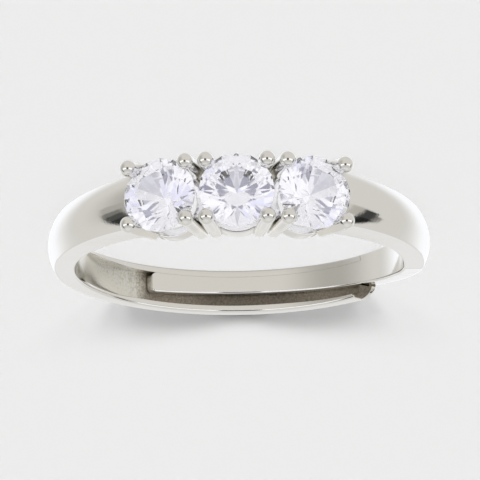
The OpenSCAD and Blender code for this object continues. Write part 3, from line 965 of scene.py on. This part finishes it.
def light_tent(scene, strength):
    """The world: a pale tent with soft cards for the metal to reflect. The stones gather the
    light of a second, brighter set of cards through their facets, and the floor takes hardly
    any light from the tent, so that it stays even beside the ring."""
    world = bpy.data.worlds.new("light tent")
    scene.world = world
    world.use_nodes = True
    tree = world.node_tree
    tree.nodes.clear()
    place = node(tree, "ShaderNodeTexCoord").outputs["Generated"]
    axes = node(tree, "ShaderNodeSeparateXYZ", Vector=place)
    back = math_node(tree, "MULTIPLY", axes.outputs[1], -1.0)
    azimuth = math_node(tree, "DEGREES", math_node(tree, "ARCTAN2", axes.outputs[0], back))
    elevation = math_node(tree, "DEGREES", math_node(tree, "ARCSINE", axes.outputs[2]))
    group = card_group()
    metal = hang_cards(tree, group, CARDS, TENT, azimuth, elevation)
    stones = hang_cards(tree, group, STONE_CARDS, TENT_IN_STONES, azimuth, elevation)
    path = node(tree, "ShaderNodeLightPath")
    inside = math_node(tree, "GREATER_THAN", path.outputs["Transmission Depth"], 0.5)
    colour_now = node(tree, "ShaderNodeMix", data_type="RGBA", _0=inside, _6=metal, _7=stones)
    by_floor = math_node(tree, "MINIMUM", path.outputs["Diffuse Depth"], 1.0)
    power = math_node(tree, "MULTIPLY_ADD", by_floor, (FLOOR_TAKES - 1) * strength, strength)
    tent = node(tree, "ShaderNodeBackground", Color=colour_now.outputs[2], Strength=power)
    plain = node(tree, "ShaderNodeBackground", Color=BACKDROP)
    mix = node(tree, "ShaderNodeMixShader", _0=path.outputs["Is Camera Ray"], _1=tent.outputs[0],
               _2=plain.outputs[0])
    output = node(tree, "ShaderNodeOutputWorld")
    tree.links.new(mix.outputs[0], output.inputs["Surface"])


# Elevation, azimuth and share of the floor's light of the low lights. There are two of each, one
# on either side.
LOW_LIGHTS = ((13.5, -6, 0.03), (13, 16, 0.1), (11.5, 16, 0.094), (11.5, 24, 0.119),
              (10.2, 24, 0.095), (8.2, 32, 0.045))
LOW_LIGHT_WIDTH = 4
# Half the angle in degrees that the flag spans round the finger, and the power with which it
# gets lower towards its ends.
FLAG_SPAN = 34
FLAG_POWER = 5


def low_lights(scene, s, stage):
    """Low soft lights in front that only the floor takes. A low curved flag inside the back of
    the band, as high as the band there and unseen itself, casts their shadow."""
    phi = np.radians(np.linspace(-FLAG_SPAN, FLAG_SPAN, 2 * FLAG_SPAN + 1))
    r = s.hole_r + s.back_t - 0.01
    rise = 2 * half_width(s, r) * (1 - (np.abs(phi) / phi.max())**FLAG_POWER)
    low = CAD_BOX[0][2] / MM
    foot = np.stack([-r * np.sin(phi), r * np.cos(phi), np.full(len(phi), low)], -1)
    points = np.concatenate([foot, foot + rise[:, None] * (0, 0, 1)]) * MM
    k = np.arange(len(phi) - 1)
    mesh = bpy.data.meshes.new("shadow flag")
    quads = np.stack([k, k + 1, k + 1 + len(phi), k + len(phi)], -1)
    mesh.from_pydata(points.tolist(), [], quads.tolist())
    flag = bpy.data.objects.new("shadow_flag", mesh)
    scene.collection.objects.link(flag)
    for kind in ("camera", "diffuse", "glossy", "transmission", "volume_scatter"):
        setattr(flag, f"visible_{kind}", False)
    casts = bpy.data.collections.new("casts the low shadow")
    casts.objects.link(flag)
    takes = bpy.data.collections.new("takes the low lights")
    takes.objects.link(bpy.data.objects["floor"])
    for elevation, side, share in LOW_LIGHTS:
        for azimuth in (side, -side):
            up, turn = math.radians(elevation), math.radians(azimuth)
            name = f"low light {azimuth}"
            light = bpy.data.lights.new(name, "SUN")
            light.energy = stage.low_light * share * math.pi / (stage.floor[0] * math.sin(up))
            light.angle = math.radians(LOW_LIGHT_WIDTH)
            lamp = bpy.data.objects.new(name, light)
            scene.collection.objects.link(lamp)
            direction = Vector((math.sin(turn) * math.cos(up), -math.cos(turn) * math.cos(up),
                                math.sin(up)))
            lamp.rotation_euler = direction.to_track_quat("Z", "Y").to_euler()
            lamp.light_linking.blocker_collection = casts
            lamp.light_linking.receiver_collection = takes


def place_camera(scene, stage):
    """The camera in front of the stones, raised towards the finger's axis and rolled half
    round, so that the band's back is at the foot of the picture as in the photograph."""
    t, turn, roll = stage.camera_up, stage.camera_turn, stage.camera_roll
    right = np.array([-math.cos(turn), math.sin(turn), 0])
    up = np.array([-math.sin(t) * math.sin(turn), -math.sin(t) * math.cos(turn), -math.cos(t)])
    back = np.array([-math.cos(t) * math.sin(turn), -math.cos(t) * math.cos(turn), math.sin(t)])
    right, up = (math.cos(roll) * right - math.sin(roll) * up,
                 math.sin(roll) * right + math.cos(roll) * up)
    off = (PHOTO_SIDE / 2 - np.array(PHOTO_CENTRE)) / PHOTO_SCALE
    far = stage.camera_far / MM
    place = lie(off[0] * right - off[1] * up + far * back)
    columns = [lie(v) / MM for v in (right, up, back)] + [place]
    camera = bpy.data.objects.new("camera", bpy.data.cameras.new("camera"))
    camera.matrix_world = Matrix([[c[k] for c in columns] for k in range(3)] + [[0, 0, 0, 1]])
    camera.data.sensor_fit = "HORIZONTAL"
    camera.data.sensor_width = 36
    camera.data.lens = PHOTO_SCALE * far / PHOTO_SIDE * camera.data.sensor_width
    camera.data.clip_start = 0.01
    scene.collection.objects.link(camera)
    scene.camera = camera


# Half the floor's side, in metres.
FLOOR_HALF = 1.5


class RING_OT_stage(bpy.types.Operator):
    """Set up the floor, the light and the camera"""
    bl_idname = "ring.stage"
    bl_label = "Stage"

    def execute(self, context):
        scene = context.scene
        stage = scene.stagesettings
        low, half = CAD_BOX[0][2], FLOOR_HALF
        mesh = bpy.data.meshes.new("floor")
        mesh.from_pydata([(-half, -half, low), (half, -half, low), (half, half, low),
                          (-half, half, low)], [], [(0, 1, 2, 3)])
        floor = bpy.data.objects.new("floor", mesh)
        scene.collection.objects.link(floor)
        material, tree, shader = new_material("pale floor")
        shader.inputs["Base Color"].default_value = (*stage.floor, 1)
        shader.inputs["Roughness"].default_value = 0.9
        shader.inputs["Specular IOR Level"].default_value = 0
        mesh.materials.append(material)
        floor.visible_glossy = False
        light_tent(scene, stage.tent)
        low_lights(scene, sizes(), stage)
        place_camera(scene, stage)
        scene.view_settings.view_transform = "Standard"
        return {"FINISHED"}


class RING_PT_panel(bpy.types.Panel):
    bl_label = "Three stone ring"
    bl_idname = "RING_PT_panel"
    bl_space_type = "VIEW_3D"
    bl_region_type = "UI"
    bl_category = "Ring"

    def draw(self, context):
        for group in SETTINGS:
            box = self.layout.box()
            values = getattr(context.scene, group.__name__.lower())
            for name in group.__annotations__:
                box.prop(values, name)
        for operator in OPERATORS:
            self.layout.operator(operator.bl_idname)


OPERATORS = (RING_OT_band, RING_OT_baskets, RING_OT_stones, RING_OT_stage)
CLASSES = (*SETTINGS, *OPERATORS, RING_PT_panel)


def register():
    for item in CLASSES:
        bpy.utils.register_class(item)
    for group in SETTINGS:
        setattr(bpy.types.Scene, group.__name__.lower(), PointerProperty(type=group))


def unregister():
    for group in SETTINGS:
        delattr(bpy.types.Scene, group.__name__.lower())
    for item in reversed(CLASSES):
        bpy.utils.unregister_class(item)


def main():
    register()
    bpy.ops.ring.band()
    bpy.ops.ring.baskets()
    bpy.ops.ring.stones()
    bpy.ops.ring.stage()


if __name__ == "__main__":
    main()
